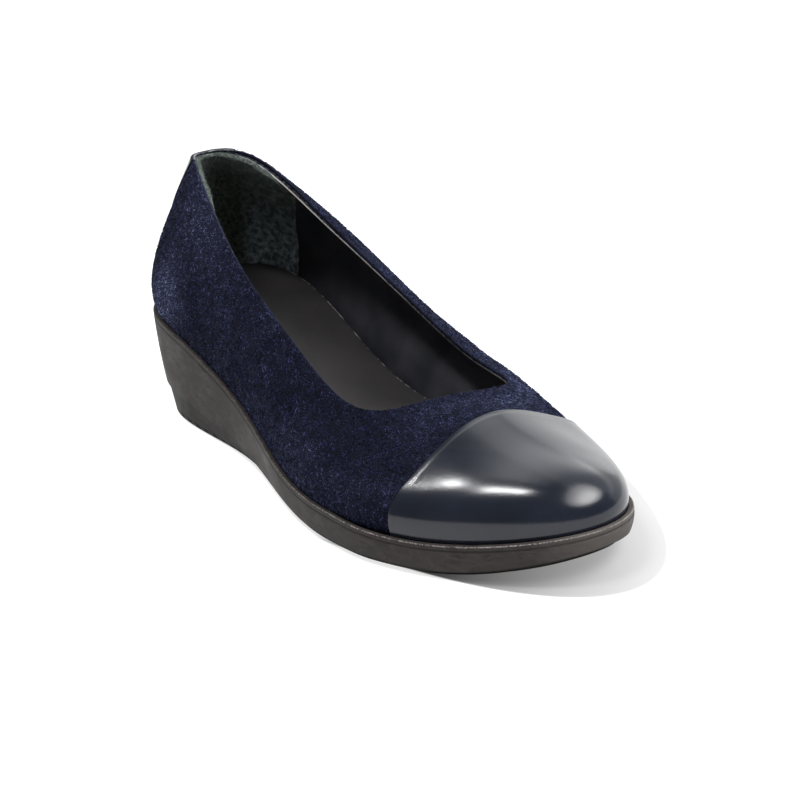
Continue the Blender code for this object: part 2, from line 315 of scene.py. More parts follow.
def dressed(name, data, material):
    """A piece in its material, riding on the shoe's only body."""
    data.materials.append(material)
    made = placed(name, data)
    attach(made, "root")
    return made


def piece(name, mesh, material):
    """One finished piece with a smooth skin."""
    data = bpy.data.meshes.new(name)
    mesh.to_mesh(data)
    mesh.free()
    data.shade_smooth()
    return dressed(name, data, material)


def linear(code):
    """Linear colour from an sRGB hex code."""
    channels = [int(code[i:i + 2], 16) / 255.0 for i in (1, 3, 5)]
    return tuple(c / 12.92 if c <= 0.04045 else ((c + 0.055) / 1.055)**2.4 for c in channels) + (1.0,)


def feed(node, sockets):
    """Gives each socket of a node its value, its colour by hex code, or a link from an output."""
    for socket, value in sockets.items():
        if isinstance(value, bpy.types.NodeSocket):
            node.id_data.links.new(value, node.inputs[socket])
        else:
            node.inputs[socket].default_value = linear(value) if isinstance(value, str) else value


def add_node(tree, kind, sockets={}, out=None, **settings):
    """One node with its settings and sockets. Gives its output of that name, or the first in use."""
    made = tree.nodes.new("ShaderNode" + kind)
    for name, value in settings.items():
        setattr(made, name, value)
    feed(made, sockets)
    return made.outputs[out] if out else next(output for output in made.outputs if output.enabled)


def finish_of(name, **sockets):
    """A material, its shader with fixed values, what adds a node to it, and its Object coordinates."""
    material = bpy.data.materials.new(name)
    material.use_nodes = True
    shader = material.node_tree.nodes["Principled BSDF"]
    feed(shader, {socket.replace("_", " "): value for socket, value in sockets.items()})
    add = partial(add_node, material.node_tree)
    return material, shader, add, add("TexCoord", out="Object")


# Colour mixing: numbers of the colour sockets on a Mix node, which share their names with others
FACTOR, FIRST, SECOND = 0, 6, 7

t_loop = np.arange(LOOP * SUEDE_COLUMNS) / SUEDE_COLUMNS
half_fold = SUEDE_THICK / 2.0
t_grid, shares = np.meshgrid(t_loop, np.linspace(0.0, 1.0, SUEDE_ROWS), indexing="ij")
s_grid = below_top(t_grid, half_fold) * shares


def sunk(t, s):
    """How far the suede lies below its smooth form: at creases, and where the two edges of the closed
    seam up the middle of the heel dip in together."""
    seam = BACK_SEAM_DEEP * np.exp(-(from_row(t, 0.0) * HEEL_PER_ROW / BACK_SEAM_HALF)**2)
    return (creased(t, s, SUEDE_CREASES) * between(s, 0.0, 0.10, 0.90, 1.0)
            + seam * (1.0 - ease(s, 0.80, 0.95)))


def inner_heel(t):
    """1 along the topline's back part on the inner side, fading to 0 beyond, where its edge is thicker."""
    return between(t % LOOP, 9.4, 10.4, 11.2, 11.7)


face = wall_normal(t_grid, s_grid)
outer = off_wall(t_grid, s_grid, -sunk(t_grid, s_grid))
under = outer[:, :1] - UNDER_LIP * leaving(t_loop)[:, None]
top_face = face[:, -1]
top_up = up_wall(t_loop, np.ones_like(t_loop))
fold_middle = outer[:, -1] - half_fold * top_face
turns = np.linspace(0.0, pi, FOLD_ROWS)[1:]
fold = np.stack([fold_middle + half_fold * (cos(a) * top_face + sin(a) * top_up) for a in turns], 1)
inner = (wall(t_grid, s_grid) - SUEDE_THICK * face)[:, -INNER_FROM::-INNER_EVERY]
inner_under = under - SUEDE_THICK * face[:, :1]
shell = np.concatenate([under, outer, fold, inner, inner_under, under], 1)

# Suede is the flesh split, buffed: no gloss, a short nap that catches light at the edges, flecks where
# fibres lean apart, cloudy patches of uneven tone, and patches of painted light and shade from a mark on
# the mesh. Fibres carry their own tone.
suede, shader, add, place = finish_of("suede_navy_brushed", Roughness=0.95, Specular_IOR_Level=0.12,
                                      Sheen_Weight=0.06, Sheen_Roughness=0.45, Sheen_Tint="#8f94c8")
stroke = add("Mapping", {"Rotation": (0.0, 0.5, 0.35), "Scale": (1.0, 2.6, 2.6), "Vector": place})
fibre = add("TexNoise", {"Scale": 1.0 / (0.9 * MM), "Detail": 3.0, "Roughness": 0.65, "Distortion": 0.8,
            "Vector": stroke})
patch = add("TexNoise", {"Scale": 1.0 / (9.0 * MM), "Detail": 3.0, "Roughness": 0.55, "Distortion": 0.4,
            "Vector": place})
cloud = add("TexNoise", {"Scale": 1.0 / (34.0 * MM), "Detail": 1.5, "Vector": place})
ground_fleck = add("MapRange", {"From Min": 0.47, "From Max": 0.68, "To Max": 0.2, "Value": fibre})
fibre_tone = add("Attribute", out="Fac", attribute_name="fibre_tone")
flecked = add("Math", {0: ground_fleck, 1: fibre_tone}, operation="ADD")
clump = add("TexNoise", {"Scale": 1.0 / (3.6 * MM), "Detail": 2.0, "Roughness": 0.6, "Vector": place})
clumped = add("MapRange", {"From Min": 0.36, "From Max": 0.64, "To Min": 0.6, "To Max": 1.4,
              "Value": clump})
fleck = add("Math", {0: flecked, 1: clumped}, operation="MULTIPLY", use_clamp=True)
patchy = add("MapRange", {"From Min": 0.36, "From Max": 0.66, "To Min": -0.05, "To Max": 0.07,
             "Value": patch})
cloudy = add("MapRange", {"From Min": 0.38, "From Max": 0.64, "To Min": -0.04, "To Max": 0.06,
             "Value": cloud})
uneven = add("Math", {0: patchy, 1: cloudy}, operation="ADD")
# painted light and shade patches on the suede, read from the mesh
stroked = add("Attribute", out="Fac", attribute_name="stroked")
tone = add("Math", {0: stroked, 1: uneven}, operation="ADD", use_clamp=True)
ground = add("Mix", {FIRST: "#020308", SECOND: "#14192e", FACTOR: tone}, data_type="RGBA")
tip = add("Mix", {FIRST: "#3b4372", SECOND: "#a1aadb", FACTOR: tone}, data_type="RGBA")
colour = add("Mix", {FACTOR: fleck, FIRST: ground, SECOND: tip}, data_type="RGBA")
nap = add("Bump", {"Strength": 0.55, "Distance": 0.35 * MM, "Height": fibre})
feed(shader, {"Base Color": colour, "Normal": nap})


def stroked_at(t, s):
    """Painted light and shade on the nap: lighter where more light falls, darker where the wall faces away.
    """
    return STROKE_LEVEL + creased(t, s, SUEDE_STROKES)


stroked_rows = stroked_at(t_grid, s_grid)
stroked_shell = np.full(shell.shape[:2], STROKE_LEVEL)
stroked_shell[:, 1:1 + SUEDE_ROWS] = stroked_rows
stroked_shell[:, 1 + SUEDE_ROWS:SUEDE_ROWS + FOLD_ROWS] = stroked_rows[:, -1:]
suede_upper = piece("suede_upper", skin(shell, True, stroked=stroked_shell), suede)
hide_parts("upper")


def brush(name, root, face, point, half, material, slot, **marks):
    """Bundles of fibre in one mesh, each a slim three-sided spike from its root along point, with marks of
    its own that the material reads by name."""
    side = unit(np.cross(point, face))
    over = unit(np.cross(side, point))
    corners = [root + half * (cos(a) * side + sin(a) * over)
               for a in np.radians((90.0, 210.0, 330.0))]
    spikes = (np.stack(corners + [root + point], 1) + HEEL_POINT) * MM
    sides = np.array([(0, 1, 3), (1, 2, 3), (2, 0, 3)])[None] + 4 * np.arange(len(root))[:, None, None]
    data = bpy.data.meshes.new(name)
    data.from_pydata(spikes.reshape(-1, 3), [], sides.reshape(-1, 3))
    for mark, values in marks.items():
        spread = np.broadcast_to(values, (len(root), 4)).astype(np.float32)
        data.attributes.new(mark, "FLOAT", "POINT").data.foreach_set("value", spread.ravel())
    return dressed(name, data, material)


FIBRE_SHADE = np.array([0.30, 0.30, 0.30, 1.0])     # a fibre is painted darker at its root than at its tip, as shade among the fibres

# The nap is brushed down and back; as many fibres stand on each square millimetre everywhere
draws = np.random.default_rng(11)
t_nap, s_nap = draws.uniform(0.0, LOOP, 4 * NAP_FIBRES), draws.uniform(0.012, 1.0, 4 * NAP_FIBRES)
across = (wall(t_nap + NUDGE, s_nap) - wall(t_nap - NUDGE, s_nap)) / (2.0 * NUDGE)
upward = (wall(t_nap, s_nap) - wall(t_nap, s_nap - NUDGE)) / NUDGE
area = np.linalg.norm(np.cross(across, upward), axis=-1)
chosen = (draws.uniform(0.0, area.max(), area.shape) < area) & (wall(t_nap, s_nap)[:, 0] < NAP_FRONT)
chosen = np.flatnonzero(chosen)[:NAP_FIBRES]
t_nap, s_nap, across, upward = t_nap[chosen], s_nap[chosen], unit(across[chosen]), unit(upward[chosen])
count = len(chosen)
turned_in = (np.arange(count) < NAP_INSIDE)[:, None]
s_nap[:NAP_INSIDE] = draws.uniform(0.985, 0.996, NAP_INSIDE)
out = wall_normal(t_nap, s_nap)
deep = (draws.uniform(SUEDE_THICK - 0.3, SUEDE_THICK + 0.35, count)
        + NAP_BEHIND * inner_heel(t_nap) * draws.uniform(0.0, 1.0, count))
root = wall(t_nap, s_nap) - np.where(turned_in, deep[:, None], sunk(t_nap, s_nap)[:, None]) * out
face = np.where(turned_in, unit(upward - 0.5 * out), out)
turn = draws.normal(0.5, 0.9, count)[:, None]
lift = np.radians(draws.uniform(8.0, 38.0, count))[:, None]
backward = np.where(t_nap < LOOP / 2.0, -1.0, 1.0)[:, None] * across
lie = np.cos(turn) * -upward + np.sin(turn) * backward
length = draws.uniform(NAP_SHORT, NAP_LONG, count)[:, None] * np.where(turned_in, 0.5, 1.0)
tone = draws.uniform(0.0, 1.0, count)[:, None]**4.0 * np.where(turned_in, 0.4, 1.0) * FIBRE_SHADE
brush("suede_nap", root, face, length * (np.cos(lift) * lie + np.sin(lift) * face), NAP_HALF,
      suede, "suede", fibre_tone=tone, stroked=stroked_at(t_nap, s_nap)[:, None])

# LINING
# Thin black leather, smooth side to the foot, stitched to the suede along the topline and lasted with
# it. Its cut edge shows pale just inside the topline.
WALL = 2.0                # suede and lining together
LINING_OUT = 1.30         # the lining's hidden face, in from the suede's outer face
LINING_ROWS = 64
EDGE_DROP = 0.65          # the cut edge lies this much below the top of the suede's fold
EDGE_THICK = 0.8          # thicker by this towards the heel on the inner side
EDGE_BARE = 0.55          # width of the pale strip along the cut edge
EDGE_FRONT = 0.12         # share of its paleness that is left along the throat
EDGE_BLEND = 0.05         # width over which it turns pale
EDGE_ROUND = 0.10
LINING_BACK_EVERY = 9     # the hidden face has one row for so many of the face to the foot
LINING_CREASES = [
    (8.6, 0.62, -58.0, 22.0, 5.0, 0.45),     # flex lines behind the ball
    (8.9, 0.55, -56.0, 20.0, 4.0, -0.30),
    (3.5, 0.60, 58.0, 22.0, 5.0, 0.45),
    (9.8, 0.45, -12.0, 30.0, 6.0, 0.40),     # waist
]

t_lining = t_loop[::2]
s_top = below_top(t_lining, EDGE_DROP)


def wall_at(t):
    """Suede and lining together along the topline."""
    return WALL + EDGE_THICK * inner_heel(t)


top = wall(t_lining, s_top)
top_in = wall_normal(t_lining, s_top)
edge_up = up_wall(t_lining, s_top, 0.02)
t_grid, shares = np.meshgrid(t_lining, np.linspace(0.997, 0.0, LINING_ROWS), indexing="ij")
s_grid = s_top[:, None] * shares
face = wall_normal(t_grid, s_grid)
pressed = creased(t_grid, s_grid, LINING_CREASES) * between(s_grid, 0.05, 0.2, 0.85, 0.97)
deep = WALL + (wall_at(t_grid) - WALL) * ease(s_grid, 0.78, 0.98)
lining_in = off_wall(t_grid, s_grid, -(deep + pressed))
lining_out = (wall(t_grid, s_grid) - LINING_OUT * face)[:, ::-LINING_BACK_EVERY]
brink = wall_at(t_lining)[:, None]
edge = [top - (LINING_OUT + EDGE_ROUND) * top_in,
        top - (brink - EDGE_BARE - EDGE_BLEND) * top_in,
        top - (brink - EDGE_BARE) * top_in,
        top - (brink - EDGE_ROUND) * top_in,
        top - brink * top_in - EDGE_ROUND * edge_up]
lining_skin = np.concatenate([lining_out, np.stack(edge, 1), lining_in, lining_out[:, :1]], 1)
cut = np.zeros(lining_skin.shape[:2])
bare = EDGE_FRONT + (1.0 - EDGE_FRONT) * ease(t_lining, 8.8, 10.0)
pale_row = lining_out.shape[1] + 2
cut[:, pale_row:pale_row + 3] = bare[:, None]

# Black chrome leather: near black, a dull shine, fine pores, and a bare grey fibre edge where it is cut.
lining_leather, shader, add, place = finish_of("lining_leather_black", Roughness=0.42,
                                               Specular_IOR_Level=0.35)
pore = add("TexNoise", {"Scale": 1.0 / (0.8 * MM), "Detail": 2.0, "Vector": place})
wear = add("TexNoise", {"Scale": 1.0 / (16.0 * MM), "Detail": 2.0, "Vector": place})
rub = add("MapRange", {"From Min": 0.4, "From Max": 0.7, "Value": wear})
black = add("Mix", {FIRST: "#282930", SECOND: "#3a3a40", FACTOR: rub}, data_type="RGBA")
is_cut = add("Attribute", out="Fac", attribute_name="cut")
colour = add("Mix", {SECOND: "#bdbab6", FACTOR: is_cut, FIRST: black}, data_type="RGBA")
dull = add("MapRange", {"From Min": 0.3, "From Max": 0.7, "To Min": 0.38, "To Max": 0.55, "Value": wear})
grain = add("Bump", {"Strength": 0.25, "Distance": 0.15 * MM, "Height": pore})
feed(shader, {"Base Color": colour, "Roughness": dull, "Normal": grain})

piece("lining", skin(lining_skin, True, cut=cut), lining_leather)

# HEEL GRIP
# A pad of grey-green microsuede glued round the inside of the heel so that it doesn't slip. It is
# skived thin at its front edges and turned out over the topline in a pale rolled edge.
GRIP_OUTER = 1.52         # loop rows from the heel's back to its front edge on the outer side
GRIP_INNER = 1.20         # and on the inner side
GRIP_INNER_TOP = 1.44     # where that edge leans forward at the topline
GRIP_THICK = 0.8
GRIP_GAP = 0.05           # between the pad and the lining
GRIP_SKIVED = 0.12        # thickness left at its front edges
GRIP_SKIVE = 0.16         # loop rows over which it thins
GRIP_COLUMNS = 150
GRIP_ROWS = 56
ROLL_ROWS = 12
ROLL_HALF = 0.95          # half width of the rolled edge
ROLL_HIGH = 0.40
ROLL_IN = 0.5             # further in by this on the inner side
ROLL_SUNK = 0.1           # how far its two feet lie below its crest line
PALE_ROWS = 9             # rows of the pad that turn pale below it
GRIP_PALE = (0.48, 0.72)  # loop rows on the inner side over which the pad is painted lighter, as lit
GRIP_BACK_EVERY = 6       # its hidden face has one row for so many of the face to the foot
ROLL_DROP = {"outer": 0.45, "back": 0.95, "inner": 0.5}    # below the top of the suede's fold
GRIP_FIBRES = 20000
GRIP_FIBRE_HALF = 0.10


def roll_at(t):
    """Share of the wall at which the rolled edge lies, lowest at the back."""
    outer_drop, back_drop, inner_drop = (ROLL_DROP[part] for part in ("outer", "back", "inner"))
    drop = (outer_drop + (back_drop - outer_drop) * (1.0 - ease(t, 0.2, 0.8))
            + (inner_drop - back_drop) * ease(-t, 0.2, 0.8))
    return below_top(t, drop)


def roll_depth(t):
    """How far in from the suede's outer face the middle of the rolled edge lies."""
    return wall_at(t) + ROLL_IN * ease(-t, 0.3, 0.8)


def leaning(t, s):
    """Loop row of a place on the pad, whose front edge on the inner side leans forward as it rises."""
    forward = 1.0 + (GRIP_INNER_TOP / GRIP_INNER - 1.0) * ease(s, 0.4, 1.0)
    return np.where(t < 0.0, t * forward, t)


t_grip = np.linspace(-GRIP_INNER, GRIP_OUTER, GRIP_COLUMNS)
s_up = np.linspace(0.02, 0.985, GRIP_ROWS)
t_grid, s_grid = np.meshgrid(t_grip, s_up, indexing="ij")
thin = ease(np.minimum(t_grid + GRIP_INNER, GRIP_OUTER - t_grid), 0.0, GRIP_SKIVE)
t_grid = leaning(t_grid, s_grid)
s_grid = s_grid * roll_at(t_grid)
thick = GRIP_SKIVED + (GRIP_THICK - GRIP_SKIVED) * thin
against = WALL + GRIP_GAP + (roll_depth(t_grid) - WALL) * ease(s_grid, 0.78, 0.98)
grip_back = off_wall(t_grid, s_grid, -against)
grip_face = off_wall(t_grid, s_grid, -(against + thick))
t_edge = leaning(t_grip, np.ones_like(t_grip))
s_edge = roll_at(t_edge)
crest = wall(t_edge, s_edge)
crest_up = up_wall(t_edge, s_edge)
crest_in = wall_normal(t_edge, s_edge - 0.01)
inward = roll_depth(t_edge)[:, None]
full = thin[:, -1:]
turns = np.linspace(0.0, pi, ROLL_ROWS)
roll = np.stack([crest - (inward + ROLL_HALF * full * cos(a)) * crest_in
                 + (ROLL_HIGH * full * sin(a) - ROLL_SUNK) * crest_up for a in turns], 1)
roll_under = (crest - inward * crest_in - 1.2 * ROLL_SUNK * crest_up)[:, None]
back_rows = grip_back[:, ::-GRIP_BACK_EVERY]
grip = np.concatenate([back_rows, grip_face, roll, roll_under, grip_back[:, -1:]], 1)
rolled = np.zeros((1, grip.shape[1]))
start = back_rows.shape[1] + GRIP_ROWS
rolled[0, start - 1:start + ROLL_ROWS + 1] = 1.0
rolled[0, start - 1 - PALE_ROWS:start - 1] = np.linspace(0.08, 0.85, PALE_ROWS)
# painted light: the inner half of the pad is lit, most low down, while the outer half stays shaded
inner_half = ease(-t_grip, *GRIP_PALE)[:, None]
lifted_rows = np.zeros(grip.shape[:2])
lifted_rows[:, start - GRIP_ROWS:start] = inner_half * (1.0 - 0.85 * ease(s_up, 0.05, 0.65))

# Microsuede: knit-backed brushed fibre, matt, mottled where it has been pressed, paler on the roll. Light
# is painted on: a lit copy on the inner half of the heel, lightest low down, a darker shaded copy outside.
microsuede, shader, add, place = finish_of("microsuede_grey_green", Roughness=0.95,
                                           Specular_IOR_Level=0.1, Sheen_Weight=0.4, Sheen_Roughness=0.5,
                                           Sheen_Tint="#9fb0a6")
fibre = add("TexNoise", {"Scale": 1.0 / (1.0 * MM), "Detail": 3.0, "Roughness": 0.6, "Vector": place})
mottle = add("TexNoise", {"Scale": 1.0 / (2.4 * MM), "Detail": 3.0, "Roughness": 0.6, "Vector": place})
patchy = add("MapRange", {"From Min": 0.38, "From Max": 0.66, "Value": mottle})
fleck = add("MapRange", {"From Min": 0.45, "From Max": 0.7, "Value": fibre})
# painted light and shade: a darker shaded copy for the outer half, a lit copy for the inner half
outer_side = add("Mix", {FIRST: "#1f231f", SECOND: "#454a42", FACTOR: patchy}, data_type="RGBA")
inner_side = add("Mix", {FIRST: "#56636c", SECOND: "#c3d0da", FACTOR: patchy}, data_type="RGBA")
lifted = add("Attribute", out="Fac", attribute_name="lifted")
body = add("Mix", {FACTOR: lifted, FIRST: outer_side, SECOND: inner_side}, data_type="RGBA")
fibre_tone = add("Attribute", out="Fac", attribute_name="fibre_tone")
half_fleck = add("Math", {1: 0.35, 0: fleck}, operation="MULTIPLY")
flecks = add("Math", {0: half_fleck, 1: fibre_tone}, operation="ADD", use_clamp=True)
flecked = add("Mix", {SECOND: "#69746f", FACTOR: flecks, FIRST: body}, data_type="RGBA")
on_roll = add("Attribute", out="Fac", attribute_name="rolled")
pale = add("Mix", {FIRST: "#373d3b", SECOND: "#949d9a", FACTOR: flecks}, data_type="RGBA")
colour = add("Mix", {FACTOR: on_roll, FIRST: flecked, SECOND: pale}, data_type="RGBA")
nap = add("Bump", {"Strength": 0.5, "Distance": 0.3 * MM, "Height": fibre})
feed(shader, {"Base Color": colour, "Normal": nap})

piece("heel_grip", skin(grip, False, rolled=rolled, lifted=lifted_rows), microsuede)

# The same short fuzz stands along the roll and thins out down the pad
draws = np.random.default_rng(23)
t_fuzz = draws.uniform(-GRIP_INNER + GRIP_SKIVE, GRIP_OUTER - GRIP_SKIVE, GRIP_FIBRES)
down = draws.exponential(0.065, GRIP_FIBRES)
s_fuzz = np.clip(1.0 - down, 0.3, 1.0)
t_fuzz = leaning(t_fuzz, s_fuzz)
s_fuzz = s_fuzz * roll_at(t_fuzz)
out = wall_normal(t_fuzz, s_fuzz)
upward = up_wall(t_fuzz, s_fuzz, NUDGE)
across = unit(wall(t_fuzz + NUDGE, s_fuzz) - wall(t_fuzz - NUDGE, s_fuzz))
on_roll = 1.0 - ease(down, 0.01, 0.035)[:, None]
deep = (roll_depth(t_fuzz)[:, None] + GRIP_THICK * (1.0 - on_roll)
        + ROLL_HALF * draws.uniform(-1.0, 1.0, (GRIP_FIBRES, 1)) * on_roll)
root = wall(t_fuzz, s_fuzz) - deep * out + ROLL_HIGH * 0.6 * on_roll * upward
face = unit(on_roll * upward - (1.0 - on_roll) * out)
turn = draws.uniform(0.0, 2.0 * pi, GRIP_FIBRES)[:, None]
lift = np.radians(draws.uniform(15.0, 65.0, GRIP_FIBRES))[:, None]
along_face = unit(np.cross(across, face))
lie = np.cos(turn) * across + np.sin(turn) * along_face
length = draws.uniform(NAP_SHORT, NAP_LONG, GRIP_FIBRES)[:, None]
tone = draws.uniform(0.0, 1.0, GRIP_FIBRES)[:, None]**1.6 * FIBRE_SHADE
brush("heel_grip_nap", root, face, length * (np.cos(lift) * lie + np.sin(lift) * face), GRIP_FIBRE_HALF,
      microsuede, "suede", fibre_tone=tone, rolled=np.exp(-down / 0.08)[:, None],
      lifted=ease(-t_fuzz, *GRIP_PALE)[:, None] * 0.2)

# TOE CAP
# A cap of smooth navy leather, lasted over the suede and turned under along its back edge, so that the
# edge is a narrow raised fold. Finished glossy; lasting has left fine wrinkles at the outer corner.
CAP_MID = 187.6           # where its back edge crosses the middle of the vamp
CAP_SKEW = 0.06           # how far the edge leans towards the toe on the outer side
CAP_HIGH = 1.1            # outer face over the suede
CAP_GAP = 0.05            # inner face over the suede
CAP_UNDER = 1.4           # how far it runs down behind the lip of the sole
FOLD_HIGH = 0.08          # how much the fold stands over the cap
FOLD_WIDE = 1.8
CAP_COLUMNS = 300
CAP_ROWS = 150
CAP_ROLL = 10
CAP_INNER_FROM, CAP_INNER_EVERY = 20, 32    # its inside has one row for so many of the outer face
CAP_CREASES = [
    (5.38, 0.665, -42.0, 6.0, 0.7, 0.030),   # fine lasting wrinkles above the highlight
    (5.42, 0.640, -44.0, 7.0, 0.7, 0.034),
    (5.46, 0.615, -46.0, 7.0, 0.7, 0.032),
    (5.50, 0.590, -50.0, 6.0, 0.6, 0.028),
    (5.54, 0.565, -54.0, 5.0, 0.6, 0.024),
    (6.05, 0.80, 0.0, 22.0, 2.6, 0.10),      # soft dent beside the fold
]


def ahead_of_edge(t, s):
    """Distance of the wall in front of the cap's back edge, less than 0 behind it."""
    p = wall(t, s)
    return p[..., 0] - CAP_MID + CAP_SKEW * p[..., 1]


def crossing(value, low, high):
    """Where a function falls through 0 between two bounds, or rises, by halving."""
    sign = np.sign(value(low))
    for _ in range(44):
        middle = (low + high) / 2.0
        same = np.sign(value(middle)) == sign
        low, high = np.where(same, middle, low), np.where(same, high, middle)
    return (low + high) / 2.0


corners = crossing(lambda t: ahead_of_edge(t, np.zeros(2)), np.array([4.0, 7.0]), np.array([5.0, 8.2]))
t_cap = np.linspace(corners[0] + 1e-3, corners[1] - 1e-3, CAP_COLUMNS)
s_edge = crossing(lambda s: ahead_of_edge(t_cap, s), np.zeros(CAP_COLUMNS), np.ones(CAP_COLUMNS))
t_grid, shares = np.meshgrid(t_cap, np.linspace(0.0, 1.0, CAP_ROWS), indexing="ij")
s_grid = s_edge[:, None] * shares
face = wall_normal(t_grid, s_grid)
ahead = ahead_of_edge(t_grid, s_grid)
fold_over = FOLD_HIGH * (1.0 - ease(ahead, FOLD_WIDE * 0.7, FOLD_WIDE * 1.3))
fade = ease(ahead, FOLD_WIDE * 1.2, FOLD_WIDE * 2.0)
high = CAP_HIGH + fold_over - creased(t_grid, s_grid, CAP_CREASES) * fade
cap_out = off_wall(t_grid, s_grid, high)
cap_under = cap_out[:, :1] - CAP_UNDER * leaving(t_cap)[:, None]
edge_point = wall(t_cap, s_edge)
edge_face = face[:, -1]
edge_run = unit(np.gradient(edge_point, axis=0))
edge_back = unit(np.cross(edge_face, edge_run))
edge_back *= np.sign(-edge_back[:, :1])
radius = (high[:, -1:] - CAP_GAP) / 2.0
turns = np.linspace(0.0, pi, CAP_ROLL)[1:]
cap_fold = np.stack([edge_point + (CAP_GAP + radius + radius * cos(a)) * edge_face
                     + radius * sin(a) * edge_back for a in turns], 1)
cap_in = (wall(t_grid, s_grid) + CAP_GAP * face)[:, -CAP_INNER_FROM::-CAP_INNER_EVERY]
cap_in_under = cap_under - (CAP_HIGH - CAP_GAP) * face[:, :1]
cap_skin = np.concatenate([cap_under, cap_out, cap_fold, cap_in, cap_in_under, cap_under], 1)

# Corrected-grain leather under a clear finish: a mirror-like shine slightly broken by fine pores,
# nearly black navy, with the colour a little uneven.
cap_leather, shader, add, place = finish_of("cap_leather_navy_glossy", Roughness=0.6,
                                            Specular_IOR_Level=0.0, Coat_Weight=0.9, Coat_Roughness=0.17,
                                            Coat_IOR=1.5)
pore = add("TexNoise", {"Scale": 1.0 / (0.6 * MM), "Detail": 2.0, "Roughness": 0.6, "Vector": place})
uneven = add("TexNoise", {"Scale": 1.0 / (14.0 * MM), "Detail": 2.0, "Vector": place})
wash = add("MapRange", {"From Min": 0.35, "From Max": 0.65, "Value": uneven})
colour = add("Mix", {FIRST: "#10151e", SECOND: "#161b25", FACTOR: wash}, data_type="RGBA")
grain = add("Bump", {"Strength": 0.26, "Distance": 0.08 * MM, "Height": pore})
feed(shader, {"Base Color": colour, "Normal": grain, "Coat Normal": grain})

toe_cap = piece("toe_cap_leather", skin(cap_skin, False), cap_leather)
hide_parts("toe_cap")

# HEEL TAB
# A small strap of the cap's leather stitched up the back seam and turned over the topline, where it
# keeps the seam from opening.
TAB_TOP_HALF = 0.70       # half width at the topline, in loop rows
TAB_LOW_HALF = 0.30       # half width at its lower end
TAB_LOW = 0.42            # its lower end, as a share of the wall from feather line to topline
TAB_HIGH = 0.985          # where it starts to turn over
TAB_THICK = 0.6
TAB_GAP = 0.12
TAB_COLUMNS = 40
TAB_ROWS = 44
TAB_TURN = 125.0          # degrees round the topline's fold that it runs
TAB_EDGE = 0.25           # rounding of its cut edges

s_tab = np.linspace(TAB_LOW, TAB_HIGH, TAB_ROWS)
half = TAB_LOW_HALF + (TAB_TOP_HALF - TAB_LOW_HALF) * (s_tab - TAB_LOW) / (1.0 - TAB_LOW)
t_grid = np.linspace(-1.0, 1.0, TAB_COLUMNS)[:, None] * half[None, :]
s_grid = np.broadcast_to(s_tab, t_grid.shape)
face = wall_normal(t_grid, s_grid)
tab = wall(t_grid, s_grid) + TAB_GAP * face
t_top = t_grid[:, -1]
tab_up = up_wall(t_top, np.ones_like(t_top))
tab_middle = wall(t_top, np.full_like(t_top, TAB_HIGH)) - half_fold * face[:, -1]
turns = np.radians(np.linspace(0.0, TAB_TURN, 10))[1:]
over = np.stack([tab_middle + (half_fold + TAB_GAP) * (cos(a) * face[:, -1] + sin(a) * tab_up)
                 for a in turns], 1)
heel_tab = piece("heel_tab_leather", skin(np.concatenate([tab, over], 1), False), cap_leather)
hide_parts("heel_tab")
strap = heel_tab.modifiers.new("strap", "SOLIDIFY")
strap.thickness = TAB_THICK * MM
strap.offset = 1.0
cut_edge = heel_tab.modifiers.new("cut_edge", "BEVEL")
cut_edge.width = TAB_EDGE * MM
cut_edge.segments = 3
cut_edge.limit_method = "ANGLE"

# INSOLE
# A firm board covered with a dark grey leather-look sock, laid on the seat of the sole inside the
# lasted upper. Its cut edge is rounded, with a painted highlight along it.
LIP_DEPTH = 2.0           # how far the seat lies below the top of the sole's lip
GAP = 0.3
INSOLE_THICK = 6.0
INSOLE_CLEAR = 0.9        # in from the lining
INSOLE_ROUND = 1.2
INSOLE_RINGS = 26
RING_COLUMNS = 32         # columns between two rows of the loop tables, here and in the sole
END_COLUMNS = 12          # columns at heel and toe that meet in the last point of the middle line

t_ring = np.arange(LOOP * RING_COLUMNS) / RING_COLUMNS
foot_ring = feather(t_ring)
out_ring = outward(feather, t_ring)
x_ring = foot_ring[:, 0]


def ring(offset, height):
    """Loop at a plan distance out from the feather line."""
    plan = foot_ring + np.broadcast_to(offset, t_ring.shape)[:, None] * out_ring[:, :2]
    return np.concatenate([plan, np.broadcast_to(height, t_ring.shape)[:, None]], 1)


def toward_middle(loop, share, height):
    """Loop drawn in to the line midway between its outer and inner side, which stops short of the ends."""
    middle = (loop + np.roll(loop[::-1], 1, 0))[:, :2] / 2.0
    column = np.arange(len(loop))
    pair = np.clip(np.minimum(column, len(loop) - column), END_COLUMNS, len(loop) // 2 - END_COLUMNS)
    plan = loop[:, :2] + share * (middle[pair] - loop[:, :2])
    return np.concatenate([plan, height(plan[:, 0])[:, None]], 1)


def seat_height(x):
    """Face of the sole that carries the insole."""
    return rim_height(x) - LIP_DEPTH


def insole_under(x):
    """Underside of the insole."""
    return seat_height(x) + GAP


def insole_over(x):
    """Face of the insole that the foot stands on."""
    return insole_under(x) + INSOLE_THICK


def quarter(count):
    """Angles that round an edge off by a quarter turn."""
    return np.linspace(0.0, pi / 2.0, count)


insole_edge = -WALL - INSOLE_CLEAR
over = insole_over(x_ring)
top_edge = ring(insole_edge - INSOLE_ROUND, over)
rounding = [ring(insole_edge - INSOLE_ROUND * (1.0 - sin(a)),
                 over - INSOLE_ROUND * (1.0 - cos(a))) for a in quarter(7)[1:]]
low_edge = ring(insole_edge, insole_under(x_ring))
insole_rows = ([toward_middle(top_edge, f, insole_over) for f in np.linspace(1.0, 0.0, INSOLE_RINGS)]
               + rounding + [low_edge] + [toward_middle(low_edge, f, insole_under) for f in (0.5, 1.0)])
insole_skin = np.stack(insole_rows, 1)[:, ::-1]
# painted highlight along the insole's rounded edge
worn = np.zeros((1, len(insole_rows)))
worn[0, INSOLE_RINGS:INSOLE_RINGS + 2] = 1.0
worn = worn[:, ::-1]
